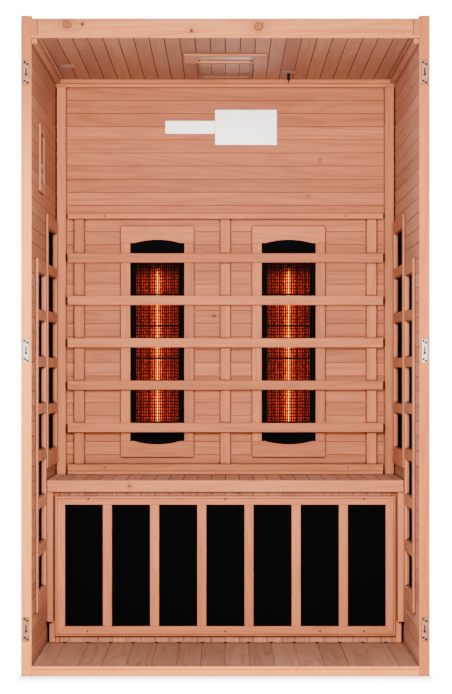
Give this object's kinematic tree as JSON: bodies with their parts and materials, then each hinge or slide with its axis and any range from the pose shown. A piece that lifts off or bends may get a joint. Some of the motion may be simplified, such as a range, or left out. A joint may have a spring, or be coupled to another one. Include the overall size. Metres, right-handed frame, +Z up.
{
  "type": "infrared sauna cabin",
  "caption": "Open-fronted softwood infrared sauna cabin with a bench, slatted backrest, framed carbon panels, glowing back heaters, a control panel and a sliding roof vent.",
  "frame": {"origin": "middle of the cabin's footprint, on the ground under the floor panel", "axes": "+Z up, +Y from the open front to the back wall, +X to the right when looking in from the front"},
  "size_m": [1.2, 1.02, 1.938],
  "materials": {
    "hemlock_boards": "satin sanded softwood boards with open V-grooves",
    "hemlock_trim": "satin sanded softwood with eased edges",
    "carbon_panel": "matt black heating film on a rigid sheet",
    "chromed_steel": "bright plated",
    "reflector_sheet": "polished pressed sheet with a black flange",
    "glowing_quartz": "glowing tube with pale ceramic caps",
    "black_wire": "black stoved wire",
    "opal_lens": "opal, unlit",
    "grey_metal": "dull turned metal",
    "black_plastic": "smooth black moulding",
    "button_plastic": "fine-textured grey moulding",
    "galvanised_box": "zinc-plated sheet"
  },
  "bodies": {
    "cabin": {"back_heater_emitter_left": "glowing_quartz", "back_heater_emitter_right": "glowing_quartz", "back_heater_frame_left": "hemlock_trim", "back_heater_frame_right": "hemlock_trim", "back_heater_guard_left": "black_wire", "back_heater_guard_right": "black_wire", "back_heater_reflector_left": "reflector_sheet", "back_heater_reflector_right": "reflector_sheet", "back_wall_lining": "hemlock_boards", "back_wall_shell": "hemlock_boards", "back_wall_surround": "hemlock_trim", "backrest_frame": "hemlock_trim", "backrest_slat_1": "hemlock_trim", "backrest_slat_2": "hemlock_trim", "backrest_slat_3": "hemlock_trim", "backrest_slat_4": "hemlock_trim", "backrest_slat_5": "hemlock_trim", "bench_carcass": "hemlock_boards", "bench_fascia": "hemlock_trim", "bench_heater_frame": "hemlock_trim", "bench_heater_panel": "carbon_panel", "bench_seat": "hemlock_boards", "ceiling_boards": "hemlock_boards", "ceiling_lamp": "opal_lens", "ceiling_spotlight": "grey_metal", "control_frame": "hemlock_trim", "control_module": "black_plastic", "floor_panel": "hemlock_boards", "lamp_frame": "hemlock_trim", "left_ceiling_batten": "hemlock_trim", "left_front_heater_frame": "hemlock_trim", "left_front_heater_panel": "carbon_panel", "left_hook_plate_bottom": "chromed_steel", "left_hook_plate_middle": "chromed_steel", "left_hook_plate_top": "chromed_steel", "left_rear_heater_frame": "hemlock_trim", "left_rear_heater_panel": "carbon_panel", "left_wall_lining": "hemlock_boards", "left_wall_shell": "hemlock_boards", "left_wiring_cover": "hemlock_boards", "power_supply": "galvanised_box", "right_ceiling_batten": "hemlock_trim", "right_front_heater_frame": "hemlock_trim", "right_front_heater_panel": "carbon_panel", "right_hook_plate_bottom": "chromed_steel", "right_hook_plate_middle": "chromed_steel", "right_hook_plate_top": "chromed_steel", "right_rear_heater_frame": "hemlock_trim", "right_rear_heater_panel": "carbon_panel", "right_wall_lining": "hemlock_boards", "right_wall_shell": "hemlock_boards", "right_wiring_cover": "hemlock_boards", "roof_panel": "hemlock_boards", "temperature_probe": "grey_metal", "vent_runners": "hemlock_trim"},
    "vent_slider": {"vent_slider": "hemlock_trim"},
    "button_power": {"control_button_power": "button_plastic"},
    "button_light": {"control_button_light": "button_plastic"},
    "button_up": {"control_button_up": "button_plastic"},
    "button_down": {"control_button_down": "button_plastic"}
  },
  "joints": [
    {"name": "vent_slide", "type": "slide", "parent": "cabin", "child": "vent_slider", "axis": [0, 1, 0], "range_m": [0, 0.12]},
    {"name": "press_power", "type": "slide", "parent": "cabin", "child": "button_power", "axis": [-1, 0, 0], "range_m": [0, 0.001], "stiffness_N_per_m": 400},
    {"name": "press_light", "type": "slide", "parent": "cabin", "child": "button_light", "axis": [-1, 0, 0], "range_m": [0, 0.001], "stiffness_N_per_m": 400},
    {"name": "press_up", "type": "slide", "parent": "cabin", "child": "button_up", "axis": [-1, 0, 0], "range_m": [0, 0.001], "stiffness_N_per_m": 400},
    {"name": "press_down", "type": "slide", "parent": "cabin", "child": "button_down", "axis": [-1, 0, 0], "range_m": [0, 0.001], "stiffness_N_per_m": 400}
  ]
}
